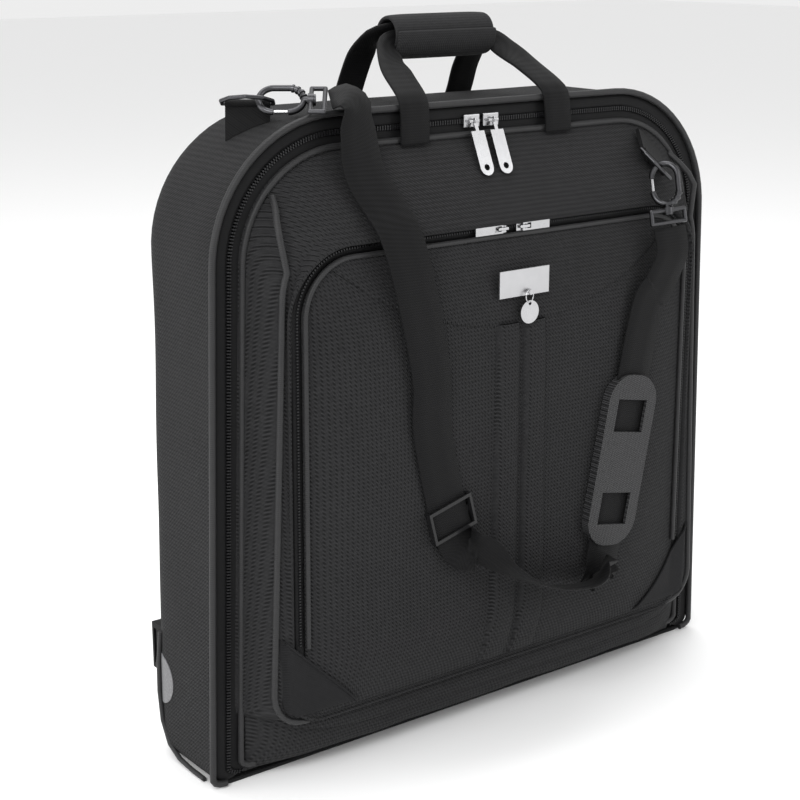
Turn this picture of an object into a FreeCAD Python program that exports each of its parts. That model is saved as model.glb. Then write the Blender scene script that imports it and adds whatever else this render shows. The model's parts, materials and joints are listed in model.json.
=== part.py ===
import FreeCAD
import Part

import math
import os

import Sketcher

# A bi-fold garment bag that stands on its fold: a deep rear half, a domed front half hinged to it
# along the bottom, a big zip round the other three sides and a front pocket. +Z is up, the front
# faces -Y, and the origin is on the floor, in the middle of the bag's width, under the main zip.

Vector = FreeCAD.Vector
doc = FreeCAD.newDocument("garment_bag")
sheet = doc.addObject("Spreadsheet::Sheet", "sheet")

# Driving dimensions in millimetres, degrees where the name says so. An inset is measured inwards
# from the line of the main zip's teeth.
dimensions = {
    # the line of the main zip: an arch standing on the floor
    "zip_half_low": 270,
    "zip_half_high": 256,
    "zip_top": 540,
    "zip_round": 102,
    "zip_bottom": 4.2,
    # the outline of the raised front panel
    "lid_half_low": 244,
    "lid_half_high": 229,
    "lid_top": 480,
    "lid_round": 66,
    "lid_bottom": 56,
    # the outline of the front pocket
    "pocket_half_low": 224,
    "pocket_half_high": 222,
    "pocket_top": 457,
    "pocket_round": 57,
    "pocket_bottom": 76,
    # the rear half
    "border": 14,
    "wall": 3,
    "rear_low": 105,
    "rear_high": 125,
    "rim_round": 36,
    "panel_inset": 30,
    "board_inset": 44,
    "lining_inset": 40,
    "board_thick": 2,
    "lining_thick": 1,
    "tape_thick": 2,
    "tape_outer": -10.8,
    "tape_split": 0.6,
    "teeth_width": 2.4,
    "teeth_gap": 0.3,
    "teeth_height": 2,
    "piping_radius": 2.6,
    # the front half
    "lid_border": 14,
    "lid_front": 34,
    "panel_thick": 3,
    "pocket_wall": 3,
    "pocket_depth": 6,
    "pocket_dome": 14,
    "pocket_zip_inset": -1,
    "small_piping_radius": 1.8,
    # webbing and hardware
    "webbing_width": 40,
    "webbing_thick": 2.2,
    "handle_width": 30,
    "handle_thick": 3,
    "wrap_length": 106,
    "wrap_radius": 18,
    "wrap_wall": 3,
    "plate_width": 55,
    "plate_height": 23,
    "plate_thick": 1.6,
    "tag_radius": 10,
    "tag_thick": 1.5,
    "slider_length": 17,
    "slider_width": 11,
    "pull_length": 48,
    "pull_width": 14,
    "pull_lean": 24,
    "pocket_slider_length": 13,
    "pocket_slider_width": 9,
    "pocket_pull_length": 29,
    "pocket_pull_width": 8,
}
for row, (name, value) in enumerate(dimensions.items(), start=1):
    sheet.set("A%d" % row, name)
    sheet.set("B%d" % row, str(value))
    sheet.setAlias("B%d" % row, name)
doc.recompute()

parts = []


def keep(thing, label):
    """Names an object as a sub-part, so that it is written to its own file."""
    thing.Label = label
    parts.append(thing)
    return thing


def size(name):
    return float(sheet.get(name))


def bind(thing, **expressions):
    for prop, expression in expressions.items():
        thing.setExpression(prop.replace("__", "."), expression)


def origin_plane(body, role):
    return next(feature for feature in body.Origin.OriginFeatures if feature.Role == role)


def add_sketch(body, role, offset=Vector()):
    sketch = body.newObject("Sketcher::SketchObject", "sketch")
    sketch.AttachmentSupport = [(origin_plane(body, role), "")]
    sketch.MapMode = "FlatFace"
    sketch.AttachmentOffset = FreeCAD.Placement(offset, FreeCAD.Rotation())
    return sketch


def add_line(sketch, start, end):
    return sketch.addGeometry(Part.LineSegment(Vector(*start, 0), Vector(*end, 0)))


def add_arc(sketch, centre, radius, first, last):
    circle = Part.Circle(Vector(*centre, 0), Vector(0, 0, 1), radius)
    return sketch.addGeometry(Part.ArcOfCircle(circle, math.radians(first), math.radians(last)))


def constrain(sketch, kind, *values, expression=None):
    number = sketch.addConstraint(Sketcher.Constraint(kind, *values))
    if expression:
        sketch.setExpression("Constraints[%d]" % number, expression)


def arch_outline(sketch, shape, inset=0.0, extra="0", bottom=None, closed=True):
    """The arch called `shape`, drawn `inset` millimetres further in; `extra` is the same inset
    written for the sheet. An open arch leaves its foot out."""
    low = size(shape + "_half_low") - inset
    high = size(shape + "_half_high") - inset
    top = size(shape + "_top") - inset
    radius = size(shape + "_round") - inset
    foot = size(shape + "_bottom") if bottom is None else bottom
    right = add_line(sketch, (low, foot), (high, top - radius))
    right_arc = add_arc(sketch, (high - radius, top - radius), radius, 0, 90)
    over = add_line(sketch, (high - radius, top), (radius - high, top))
    left_arc = add_arc(sketch, (radius - high, top - radius), radius, 90, 180)
    left = add_line(sketch, (-high, top - radius), (-low, foot))
    constrain(sketch, "Tangent", right, 2, right_arc, 1)
    constrain(sketch, "Tangent", right_arc, 2, over, 1)
    constrain(sketch, "Tangent", over, 2, left_arc, 1)
    constrain(sketch, "Tangent", left_arc, 2, left, 1)
    constrain(sketch, "Symmetric", over, 1, over, 2, -2)
    constrain(sketch, "Symmetric", right, 1, left, 2, -2)
    constrain(sketch, "Equal", right_arc, left_arc)
    if closed:
        base = add_line(sketch, (-low, foot), (low, foot))
        constrain(sketch, "Coincident", left, 2, base, 1)
        constrain(sketch, "Coincident", base, 2, right, 1)
    constrain(sketch, "Radius", right_arc, radius, expression="sheet.%s_round - (%s)" % (shape, extra))
    constrain(sketch, "DistanceX", -1, 1, right, 1, low,
              expression="sheet.%s_half_low - (%s)" % (shape, extra))
    constrain(sketch, "DistanceX", -1, 1, right, 2, high,
              expression="sheet.%s_half_high - (%s)" % (shape, extra))
    constrain(sketch, "DistanceY", -1, 1, right_arc, 2, top,
              expression="sheet.%s_top - (%s)" % (shape, extra))
    constrain(sketch, "DistanceY", -1, 1, right, 1, foot)


def pad(body, sketch, length, reverse=True, middle=False):
    feature = body.newObject("PartDesign::Pad", "pad")
    feature.Profile = sketch
    feature.Reversed = reverse
    feature.Midplane = middle
    bind(feature, Length=length)
    return feature


def pocket(body, sketch):
    feature = body.newObject("PartDesign::Pocket", "pocket")
    feature.Profile = sketch
    feature.Type = "ThroughAll"
    feature.Midplane = True
    return feature


def arch_plate(name, shape, inset, front, thick, extra=None, bottom=None):
    """A flat arch-shaped plate whose front face is at y = front."""
    body = doc.addObject("PartDesign::Body", name)
    sketch = add_sketch(body, "XZ_Plane")
    arch_outline(sketch, shape, inset, extra or str(inset), bottom)
    pad(body, sketch, thick)
    body.Placement.Base = Vector(0, front, 0)
    return body


def arch_frame(name, shape, outer, inner, front, thick, outer_text=None, inner_text=None, foot=None):
    """A flat frame between two insets of one arch. With no foot it stays open at the bottom."""
    body = arch_plate(name, shape, outer, front, thick, outer_text)
    sketch = add_sketch(body, "XZ_Plane")
    opening = size(shape + "_bottom") - 0.05
    arch_outline(sketch, shape, inner, inner_text or str(inner), opening if foot is None else foot)
    pocket(body, sketch)
    return body


def arch_piping(name, shape, inset, front, radius, extra, closed=False, lift=3):
    """A round cord that follows an inset of an arch, closed by a straight foot where asked."""
    body = doc.addObject("PartDesign::Body", name)
    bottom = size(shape + "_bottom") + lift
    path = add_sketch(body, "XZ_Plane")
    arch_outline(path, shape, inset, extra, bottom, closed=False)
    ring = add_sketch(body, "XY_Plane", Vector(0, 0, bottom))
    start = size(shape + "_half_low") - inset
    circle = ring.addGeometry(Part.Circle(Vector(start, 0, 0), Vector(0, 0, 1), size(radius)))
    constrain(ring, "Radius", circle, size(radius), expression="sheet.%s" % radius)
    constrain(ring, "PointOnObject", circle, 3, -1)
    constrain(ring, "DistanceX", -1, 1, circle, 3, start,
              expression="sheet.%s_half_low - (%s)" % (shape, extra))
    doc.recompute()
    pipe = body.newObject("PartDesign::AdditivePipe", "pipe")
    pipe.Profile = ring
    pipe.Spine = path
    pipe.Mode = "Frenet"
    body.Placement.Base = Vector(0, front, 0)
    if not closed:
        return body
    reach = start + size(radius)
    foot = cylinder(name + "_foot", (-reach, front, bottom), (1, 0, 0), size(radius) + 0.2, 2 * reach)
    return fuse(name + "_fused", body, foot)


def box(name, low, high, edge=0.0):
    """A block between two corners, with all its edges rounded where `edge` is given."""
    block = doc.addObject("Part::Box", name)
    block.Length, block.Width, block.Height = [far - near for near, far in zip(low, high)]
    block.Placement.Base = Vector(*low)
    return round_edges(block, edge) if edge else block


def round_edges(base, radius, wanted=lambda edge: True):
    doc.recompute()
    rounded = doc.addObject("Part::Fillet", base.Name + "_rounded")
    rounded.Base = base
    chosen = [i for i, edge in enumerate(base.Shape.Edges, start=1) if wanted(edge)]
    rounded.Edges = [(i, radius, radius) for i in chosen]
    return rounded


def cut(name, base, *tools):
    result = doc.addObject("Part::Cut", name)
    result.Base = base
    result.Tool = tools[0] if len(tools) == 1 else fuse(name + "_tools", *tools)
    return result


def fuse(name, *shapes):
    result = doc.addObject("Part::MultiFuse", name)
    result.Shapes = list(shapes)
    return result


def cylinder(name, base, axis, radius, height):
    rod = doc.addObject("Part::Cylinder", name)
    rod.Radius = radius
    rod.Height = height
    rod.Placement = FreeCAD.Placement(Vector(*base), FreeCAD.Rotation(Vector(0, 0, 1), Vector(*axis)))
    return rod


def free_shape(name, shape, placement=None):
    feature = doc.addObject("Part::Feature", name)
    feature.Shape = shape
    if placement:
        feature.Placement = placement
    return feature


def group_of(name, *solids):
    """Identical or paired pieces that share one node, each still a solid of its own."""
    compound = doc.addObject("Part::Compound", name)
    compound.Links = list(solids)
    return compound


def frame_at(origin, along, across):
    """A placement whose local X runs `along` and whose local Y leans towards `across`."""
    x_axis = Vector(*along).normalize()
    z_axis = x_axis.cross(Vector(*across)).normalize()
    y_axis = z_axis.cross(x_axis)
    return FreeCAD.Placement(Vector(*origin), FreeCAD.Rotation(x_axis, y_axis, z_axis, "ZXY"))


def ribbon(stations):
    """A strip of webbing through stations of (point, width direction, width, thickness)."""
    points = [Vector(*station[0]) for station in stations]
    wires = []
    for i, (point, across, width, thick) in enumerate(stations):
        ahead = points[min(i + 1, len(points) - 1)] - points[max(i - 1, 0)]
        ahead.normalize()
        side = Vector(*across)
        side = (side - ahead * side.dot(ahead)).normalize()
        normal = ahead.cross(side)
        corners = [(-1, -1), (1, -1), (1, 1), (-1, 1)]
        ring = [points[i] + side * (a * width / 2) + normal * (b * thick / 2) for a, b in corners]
        wires.append(Part.makePolygon(ring + ring[:1]))
    return Part.makeLoft(wires, True, True)


def rod_loop(points, radius, closed=True):
    """A bent rod along straight runs, its corners rounded by a sphere at each point."""
    runs = list(zip(points, points[1:] + points[:1])) if closed else list(zip(points, points[1:]))
    solids = []
    for start, end in runs:
        step = Vector(*end) - Vector(*start)
        solids.append(Part.makeCylinder(radius, step.Length, Vector(*start), step))
    corners = points if closed else points[1:-1]
    solids += [Part.makeSphere(radius, Vector(*point)) for point in corners]
    return solids[0].multiFuse(solids[1:]).removeSplitter()


# ---- Rear half: shell, panel, boards and lining --------------------------------------------------

slope = (size("rear_high") - size("rear_low")) / size("zip_top")
slope_degrees = math.degrees(math.atan(slope))


def rear_at(height):
    """The y of the bag's outer back face at a height."""
    return size("rear_low") + slope * height


def rounded_block(name, inset, extra, front, shorten, edge, bottom):
    """The rear half's block: an arch drawn back to a sloping rear face with a rounded rim."""
    body = doc.addObject("PartDesign::Body", name)
    sketch = add_sketch(body, "XZ_Plane", Vector(0, 0, -front))
    arch_outline(sketch, "zip", inset, extra, bottom)
    pad(body, sketch, "sheet.rear_high + 40")
    side = add_sketch(body, "YZ_Plane")
    low = rear_at(-20) - shorten
    high = rear_at(600) - shorten
    corners = [(low, -20), (high, 600), (high + 80, 600), (high + 80, -20)]
    lines = [add_line(side, a, b) for a, b in zip(corners, corners[1:] + corners[:1])]
    for first, second in zip(lines, lines[1:] + lines[:1]):
        constrain(side, "Coincident", first, 2, second, 1)
    pocket(body, side)
    doc.recompute()
    rim = []
    for i, line in enumerate(body.Shape.Edges, start=1):
        if all(abs(v.Y - rear_at(v.Z) + shorten) < 0.2 for v in line.Vertexes):
            rim.append("Edge%d" % i)
    carved = body.Tip
    rounding = body.newObject("PartDesign::Fillet", "rim")
    rounding.Base = (carved, rim)
    rounding.Radius = edge
    body.Tip = rounding
    return body


wall = size("wall")
outer_block = rounded_block("outer_block", -size("border"), "-sheet.border", -2, 0, size("rim_round"), 0)
inner_block = rounded_block("inner_block", wall - size("border"), "sheet.wall - sheet.border", -5, wall,
                            size("rim_round") - wall, wall)
tray = cut("tray", outer_block, inner_block)
panel_window = arch_plate("panel_window", "zip", size("panel_inset"), 60, "120", "sheet.panel_inset", 42)
rear_gusset = keep(cut("gusset_cut", tray, panel_window), "rear_gusset")
back_panel = doc.addObject("Part::Common", "back_common")
back_panel.Base = tray
back_panel.Tool = panel_window
keep(back_panel, "back_panel")


def tilted_plate(label, inset_name, gap, thick_name):
    """A plate parallel to the sloping back, `gap` in front of its outer face."""
    body = arch_plate(label + "_body", "zip", size(inset_name), 0, "sheet." + thick_name,
                      "sheet." + inset_name, 52)
    turn = FreeCAD.Rotation(Vector(1, 0, 0), -slope_degrees)
    body.Placement = FreeCAD.Placement(Vector(0, rear_at(0) - gap, 0), turn)
    return keep(body, label)


tilted_plate("rear_board", "board_inset", wall + 0.2 + size("board_thick"), "board_thick")
lining_gap = wall + 0.4 + size("board_thick") + size("lining_thick")
tilted_plate("rear_lining", "lining_inset", lining_gap, "lining_thick")

# ---- Main zip: tape and teeth on each half, and the piping beside them ----------------------------

split = size("tape_split")
keep(arch_frame("rear_tape_body", "zip", size("tape_outer"), -split, -size("tape_thick"), "sheet.tape_thick",
                "sheet.tape_outer", "-sheet.tape_split"), "rear_zip_tape")
keep(arch_frame("front_tape_body", "zip", split, -size("tape_outer"), -size("tape_thick"), "sheet.tape_thick",
                "sheet.tape_split", "-sheet.tape_outer"), "front_zip_tape")
teeth_front = -size("tape_thick") - size("teeth_height")
keep(arch_frame("rear_teeth_body", "zip", -size("teeth_width"), -size("teeth_gap"), teeth_front,
                "sheet.teeth_height", "-sheet.teeth_width", "-sheet.teeth_gap"), "rear_zip_teeth")
keep(arch_frame("front_teeth_body", "zip", size("teeth_gap"), size("teeth_width"), teeth_front,
                "sheet.teeth_height", "sheet.teeth_gap", "sheet.teeth_width"), "front_zip_teeth")
keep(arch_piping("outer_piping_body", "zip", -size("border") - 0.8, -4.8, "piping_radius",
                 "-sheet.border - 0.8"), "outer_piping")

# ---- Front half: gusset strip, domed panel, bottom, pocket ---------------------------------------


def lofted_frame(label, back, front, first, second, first_foot, second_foot, thick):
    """The front half's side strip: a frame that leans in from the zip to the raised panel."""
    body = doc.addObject("PartDesign::Body", label + "_body")
    sketches = []
    for place, (shape, inset), foot in ((back, first, first_foot), (front, second, second_foot)):
        sketch = add_sketch(body, "XZ_Plane", Vector(0, 0, place))
        arch_outline(sketch, shape, inset, str(inset), foot)
        sketches.append(sketch)
    doc.recompute()
    solid = body.newObject("PartDesign::AdditiveLoft", "outside")
    solid.Profile = sketches[0]
    solid.Sections = [sketches[1]]
    solid.Ruled = True
    inner = []
    for place, (shape, inset), foot in ((back - 0.5, first, first_foot), (front + 0.5, second, second_foot)):
        sketch = add_sketch(body, "XZ_Plane", Vector(0, 0, place))
        arch_outline(sketch, shape, inset + thick, str(inset + thick), foot + thick)
        inner.append(sketch)
    doc.recompute()
    hollow = body.newObject("PartDesign::SubtractiveLoft", "inside")
    hollow.Profile = inner[0]
    hollow.Sections = [inner[1]]
    hollow.Ruled = True
    return keep(body, label)


lid_front = size("lid_front")
lid_border = size("lid_border")
lofted_frame("lid_gusset", 2.4, lid_front, ("zip", lid_border), ("lid", 1.0), 30, 54, wall)
keep(arch_plate("lid_panel_body", "lid", 4.4, -lid_front, "sheet.panel_thick", bottom=58), "lid_panel")
keep(round_edges(box("lid_foam_block", (-190, -30.6, 80), (190, -28.6, 440)), 0.8), "lid_foam_board")

# The bottom panel curves from the front half's lower seam back to the fold.
bottom_body = doc.addObject("PartDesign::Body", "bottom_panel_body")
bottom_side = add_sketch(bottom_body, "YZ_Plane")
bottom_outside = [(-2.6, 1.2), (-13, 3), (-20, 14), (-21, 29.4)]
bottom_inside = [(-18, 29.4), (-17, 15), (-11.5, 6), (-2.6, 4.2)]
bottom_shape = bottom_outside + bottom_inside
bottom_lines = []
for start, end in zip(bottom_shape, bottom_shape[1:] + bottom_shape[:1]):
    bottom_lines.append(add_line(bottom_side, start, end))
for first, second in zip(bottom_lines, bottom_lines[1:] + bottom_lines[:1]):
    constrain(bottom_side, "Coincident", first, 2, second, 1)
pad(bottom_body, bottom_side, "2 * (sheet.zip_half_high - sheet.lid_border)", middle=True)
keep(bottom_body, "bottom_panel")

keep(arch_piping("inner_piping_body", "zip", lid_border - 2.5, -5.2, "piping_radius",
                 "sheet.lid_border - 2.5", lift=4), "inner_piping")
keep(arch_piping("lid_piping_body", "lid", 0.4, -lid_front - 3.2, "piping_radius", "0.4", closed=True,
                 lift=0.4), "lid_piping")

# The pocket: a zip tape round it, piping, and a padded cover. Triangular patches cross its lower
# corners and the corners of the tape, piping and cover are cut away for them.
tape_front = -lid_front - 0.2 - size("pocket_depth")
pocket_foot = size("pocket_bottom") + 9
tape_frame = arch_frame("pocket_zip_body", "pocket", size("pocket_zip_inset"), 9, tape_front,
                        "sheet.pocket_depth", "sheet.pocket_zip_inset", "9", foot=pocket_foot)
cord_frame = arch_piping("pocket_piping_body", "pocket", 11.4, tape_front - 5.3,
                         "small_piping_radius", "11.4", closed=True, lift=11.4)


def domed_cover(name, inset, back, dome, dome_inset, foot, dome_foot):
    """The padded pocket cover: a flat plate with a raised middle on its front."""
    body = doc.addObject("PartDesign::Body", name)
    front = back + size("pocket_wall")
    plate = add_sketch(body, "XZ_Plane", Vector(0, 0, back))
    arch_outline(plate, "pocket", inset, str(inset), foot)
    pad(body, plate, "sheet.pocket_wall", reverse=False)
    base = add_sketch(body, "XZ_Plane", Vector(0, 0, front))
    arch_outline(base, "pocket", inset + 5, str(inset + 5), foot + 5)
    raised = add_sketch(body, "XZ_Plane", Vector(0, 0, front + dome))
    arch_outline(raised, "pocket", dome_inset, str(dome_inset), dome_foot)
    doc.recompute()
    loft = body.newObject("PartDesign::AdditiveLoft", "dome")
    loft.Profile = base
    loft.Sections = [raised]
    loft.Ruled = True
    return body


cover_back = 0.2 - tape_front
cover_front = -(cover_back + size("pocket_wall") + size("pocket_dome"))
cover = domed_cover("pocket_cover_body", 9.6, cover_back, size("pocket_dome"), 36, pocket_foot + 0.6, 112)


def triangle(name, corners, front, thick):
    """A three-cornered plate in the XZ plane."""
    body = doc.addObject("PartDesign::Body", name)
    sketch = add_sketch(body, "XZ_Plane")
    lines = [add_line(sketch, a, b) for a, b in zip(corners, corners[1:] + corners[:1])]
    for first, second in zip(lines, lines[1:] + lines[:1]):
        constrain(sketch, "Coincident", first, 2, second, 1)
    pad(body, sketch, str(thick))
    body.Placement.Base = Vector(0, front, 0)
    return body


patch_corner = (size("lid_half_low") - 9, size("lid_bottom") + 5)
patch_side = 74
tool_reach = patch_side + 30
tool_edge = 260
tool_foot = 40
corner_tools = []
corner_patches = []
for side in (-1, 1):
    x, z = patch_corner
    tool_points = [(side * tool_edge, tool_foot), (side * tool_edge, z + tool_reach),
                   (side * (x - tool_reach), tool_foot)]
    corner_tools.append(triangle("corner_tool", tool_points, -80, 46.5))
    points = [(side * x, z), (side * x, z + patch_side), (side * (x - patch_side), z)]
    corner_patches.append(triangle("corner_patch", points, tape_front - 1, size("pocket_depth") + 1))
corner_tool = fuse("corner_tools", *corner_tools)
keep(cut("pocket_tape_cut", tape_frame, corner_tool), "pocket_zip_tape")
keep(cut("pocket_piping_cut", cord_frame, corner_tool), "pocket_piping")
keep(cut("pocket_cover_cut", cover, corner_tool), "pocket_panel")
keep(group_of("corner_patch_pair", *corner_patches), "corner_patches")

# The yoke above the swooping seam, the two padded ribs below it and the blank plate on it.
yoke_plate = arch_plate("yoke_plate", "pocket", 38, cover_front - 1.5, "1.4")
yoke_round = cylinder("yoke_round", (0, cover_front + 5, 661), (0, -1, 0), 290, 20)
yoke = doc.addObject("Part::Common", "yoke_common")
yoke.Base = yoke_plate
yoke.Tool = yoke_round
keep(yoke, "yoke_panel")

ribs = []
for side in (-1, 1):
    near, far = sorted((side * 1.5, side * 27))
    ribs.append(box("rib", (near, cover_front - 4.1, 114), (far, cover_front - 0.1, 366), 1.8))
keep(group_of("rib_pair", *ribs), "front_ribs")

plate_low = 397
plate_back = cover_front - 1.7
plate_half = size("plate_width") / 2
plate = box("plate_block", (-plate_half, plate_back - size("plate_thick"), plate_low),
            (plate_half, plate_back, plate_low + size("plate_height")))
peg_x = 4
peg_z = plate_low + 3
peg = cylinder("plate_peg", (peg_x, plate_back - 0.5, peg_z), (0, -1, 0), 1.1, 5.4)
peg_head = cylinder("plate_peg_head", (peg_x, plate_back - 4.9, peg_z), (0, -1, 0), 2.3, 0.9)
keep(fuse("plate_fused", plate, peg, peg_head), "nameplate")

tag_y = plate_back - 3.7
tag_centre = Vector(peg_x, tag_y, peg_z - 17.3)
disc = cylinder("tag_disc", tag_centre + Vector(0, size("tag_thick") / 2, 0), (0, -1, 0),
                size("tag_radius"), size("tag_thick"))
tag_hole = cylinder("tag_hole", tag_centre + Vector(0, 3, 7.4), (0, -1, 0), 1.6, 6)
keep(cut("tag_cut", disc, tag_hole), "round_tag")
tag_ring = doc.addObject("Part::Torus", "tag_ring_torus")
tag_ring.Radius1 = 5.4
tag_ring.Radius2 = 0.6
tag_ring.Placement = frame_at((peg_x, tag_y, peg_z - 3.6), (0.97, 0.25, 0), (0, 0, 1))
keep(tag_ring, "tag_ring")

# ---- Zip sliders and pulls -------------------------------------------------------------------------


def zip_slider(label, centre, length, width, flange, tall, skirt):
    """A slider that straddles the teeth, with a bridge along its length for the pull. Its two side
    flanges reach `skirt` behind its plate."""
    x, y, z = centre
    top = box(label + "_top", (x - length / 2, y - 2, z - width / 2), (x + length / 2, y, z + width / 2), 0.8)
    sides = []
    for side in (-1, 1):
        near, far = sorted((side * (width / 2 - flange), side * width / 2))
        low = (x - length / 2 + 1, y - 0.5, z + near)
        high = (x + length / 2 - 1, y + skirt, z + far)
        sides.append(box(label + "_side", low, high))
    legs = []
    for near in (x - 5.5, x + 3.7):
        legs.append(box(label + "_leg", (near, y - tall, z - 1.2), (near + 1.8, y - 1, z + 1.2)))
    bridge = box(label + "_bridge", (x - 5.5, y - tall - 1.6, z - 1.2), (x + 5.5, y - tall, z + 1.2), 0.5)
    return keep(fuse(label + "_fused", top, *sides, *legs, bridge), label)


def hanging_pull(label, x, bridge_y, z):
    """A long pull that hangs from the bridge by an eye that rings it, leaning out over the slope."""
    half = size("pull_width") / 2
    long = size("pull_length")
    eye = doc.addObject("Part::Torus", label + "_eye")
    eye.Radius1 = 2.15
    eye.Radius2 = 0.65
    eye.Placement = frame_at((x, bridge_y, z), (0, 1, 0), (0, 0, 1))
    neck = box(label + "_neck", (x - 1.8, bridge_y - 1.1, z - 10), (x + 1.8, bridge_y + 1.1, z - 2.2))
    low = z - long + half
    blade = box(label + "_blade", (x - half, bridge_y - 1.2, low), (x + half, bridge_y + 1.2, z - 9))
    tip = cylinder(label + "_tip", (x, bridge_y + 1.2, low), (0, -1, 0), half, 2.4)
    hole = cylinder(label + "_hole", (x, bridge_y + 4, low), (0, -1, 0), 2.8, 8)
    pull = cut(label + "_cut", fuse(label + "_solid", eye, neck, blade, tip), hole)
    lean = FreeCAD.Rotation(Vector(1, 0, 0), -size("pull_lean"))
    pull.Placement = FreeCAD.Placement(Vector(), lean, Vector(x, bridge_y, z))
    return keep(pull, label)


slider_y = teeth_front - 0.4
bridge_y = slider_y - 2 - 2.2 - 0.8
for name, x in (("left", -15), ("right", 6)):
    zip_slider("main_slider_" + name, (x, slider_y, size("zip_top")), size("slider_length"),
               size("slider_width"), 1.6, 4.2, 1.8)
    hanging_pull("main_pull_" + name, x, bridge_y, size("zip_top"))


def flat_pull(label, x, bar_y, z, side):
    """A short pull that lies along the zip, its end bar held under the bridge."""
    length = size("pocket_pull_length")
    half = size("pocket_pull_width") / 2
    near, far = sorted((x - side * 0.9, x + side * length))
    blade = box(label + "_blade", (near, bar_y - 0.8, z - half), (far, bar_y + 0.8, z + half))
    near, far = sorted((x + side * 0.9, x + side * 8.2))
    window = box(label + "_window", (near, bar_y - 3, z - half + 1.6), (far, bar_y + 3, z + half - 1.6))
    return keep(cut(label + "_cut", blade, window), label)


pocket_zip_z = size("pocket_top") - 4
pocket_slider_y = tape_front - 0.4
for name, side in (("left", -1), ("right", 1)):
    x = side * 12
    zip_slider("pocket_slider_" + name, (x, pocket_slider_y, pocket_zip_z), size("pocket_slider_length"),
               size("pocket_slider_width"), 1.0, 4.6, 0.2)
    flat_pull("pocket_pull_" + name, x, pocket_slider_y - 3.3, pocket_zip_z, side)

# ---- Shoulder strap: tabs, D-rings, snap hooks, webbing, tri-glide and pad -------------------------

ring_wire = 1.7
ring_half = size("webbing_width") / 2 + 0.5


def ring_tab(label, place, length, trim=None):
    """A folded webbing tab whose end holds a D-ring's bar; local X is the bar, local Y the tab."""
    half = size("webbing_width") / 2 - 2
    flat = Part.makeBox(2 * half, length, 3.4, Vector(-half, -length, -1.7))
    curl = Part.makeCylinder(3.4, 2 * half, Vector(-half, 0, 0), Vector(1, 0, 0))
    bore = Part.makeCylinder(ring_wire + 0.3, 3 * half, Vector(-1.5 * half, 0, 0), Vector(1, 0, 0))
    tab = free_shape(label + "_webbing", flat.fuse(curl).cut(bore).removeSplitter(), place)
    return keep(cut(label + "_trimmed", tab, trim) if trim else tab, label)


def d_ring(label, place):
    """A bent-wire D: the bar along local X, the bow towards local +Y."""
    bow = [(-ring_half, 0, 0), (-ring_half, 8, 0), (-13, 17, 0), (0, 20.5, 0), (13, 17, 0), (ring_half, 8, 0),
           (ring_half, 0, 0)]
    return keep(free_shape(label + "_wire", rod_loop(bow, ring_wire), place), label)


hook_bow = 12.0
hook_straight = 6.0
hook_wire = 2.5
gate_wire = 1.6


def snap_hook(side, place, eye_place):
    """A swivelling snap hook. Local X runs from the nose to the swivel, local Z is square to it."""
    nose = Part.makeTorus(hook_bow, hook_wire, Vector(-hook_straight, 0, 0), Vector(0, 0, 1), 0, 360, 180)
    nose.rotate(Vector(-hook_straight, 0, 0), Vector(0, 0, 1), 90)
    heel = Part.makeTorus(hook_bow, hook_wire, Vector(hook_straight, 0, 0), Vector(0, 0, 1), 0, 360, 180)
    heel.rotate(Vector(hook_straight, 0, 0), Vector(0, 0, 1), -90)
    spine = Part.makeCylinder(hook_wire, 2 * hook_straight, Vector(-hook_straight, hook_bow, 0),
                              Vector(1, 0, 0))
    heel_end = hook_straight + hook_bow
    neck = Part.makeCylinder(3, 8, Vector(heel_end, 0, 0), Vector(1, 0, 0))
    button = Part.makeCylinder(4.6, 1.4, Vector(heel_end + 8, 0, 0), Vector(1, 0, 0))
    pieces = [heel, spine, neck, button]
    for degrees in (15, 35, 55, 75):
        turn = math.radians(degrees)
        centre = Vector(hook_straight + hook_bow * math.cos(turn), hook_bow * math.sin(turn), 0)
        along = Vector(-math.sin(turn), math.cos(turn), 0)
        pieces.append(Part.makeCylinder(3.3, 1.6, centre - along * 0.8, along))
    keep(free_shape(side + "_hook_wire", nose.multiFuse(pieces).removeSplitter(), place), side + "_hook")
    gate_length = 2 * hook_straight - 1.2
    gate = Part.makeCylinder(gate_wire, gate_length, Vector(-gate_length / 2, -hook_bow, 0), Vector(1, 0, 0))
    keep(free_shape(side + "_gate_wire", gate, place), side + "_hook_gate")
    # The eye that the webbing is sewn round turns about the hook's neck.
    half = size("webbing_width") / 2 + 1.5
    near = heel_end + 5.4
    far = near + 11
    boss = Part.makeCylinder(5.4, 4.6, Vector(near - 2.3, 0, 0), Vector(1, 0, 0))
    window = rod_loop([(near, -half, 0), (far, -half, 0), (far, half, 0), (near, half, 0)], 1.9)
    bore = Part.makeCylinder(3.3, 8, Vector(near - 4, 0, 0), Vector(1, 0, 0))
    eye = boss.fuse(window).cut(bore)
    keep(free_shape(side + "_eye_cast", eye.removeSplitter(), eye_place), side + "_hook_eye")
    return far


left_axis = Vector(0.8, -0.6, 0)
left_hook_centre = Vector(-187, 23, 565)
right_axis = Vector(0, -0.2, -1)
right_hook_centre = Vector(168.2, -56.7, 476.4)
right_axis.normalize()
left_bow = Vector(-0.56, -0.75, 0.36)
right_bar = Vector(0.79, 0, -0.61)
right_bow = Vector(-0.26, -0.91, -0.33)

left_bar_centre = left_hook_centre - left_axis * 27.5 - left_bow * 10
right_bar_centre = Vector(173.5, -36, 493.5)
right_tab_front = Vector(-0.43, -0.71, -0.56)
d_ring("left_d_ring", frame_at(left_bar_centre, left_axis, left_bow))
d_ring("right_d_ring", frame_at(right_bar_centre, right_bar, right_bow))
left_tab = frame_at(left_bar_centre, left_axis, (0.1, 0.15, 1))
ring_tab("left_ring_tab", left_tab, 30, outer_block)
ring_tab("right_ring_tab", frame_at(right_bar_centre, right_bar, right_tab_front), 30)

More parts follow.
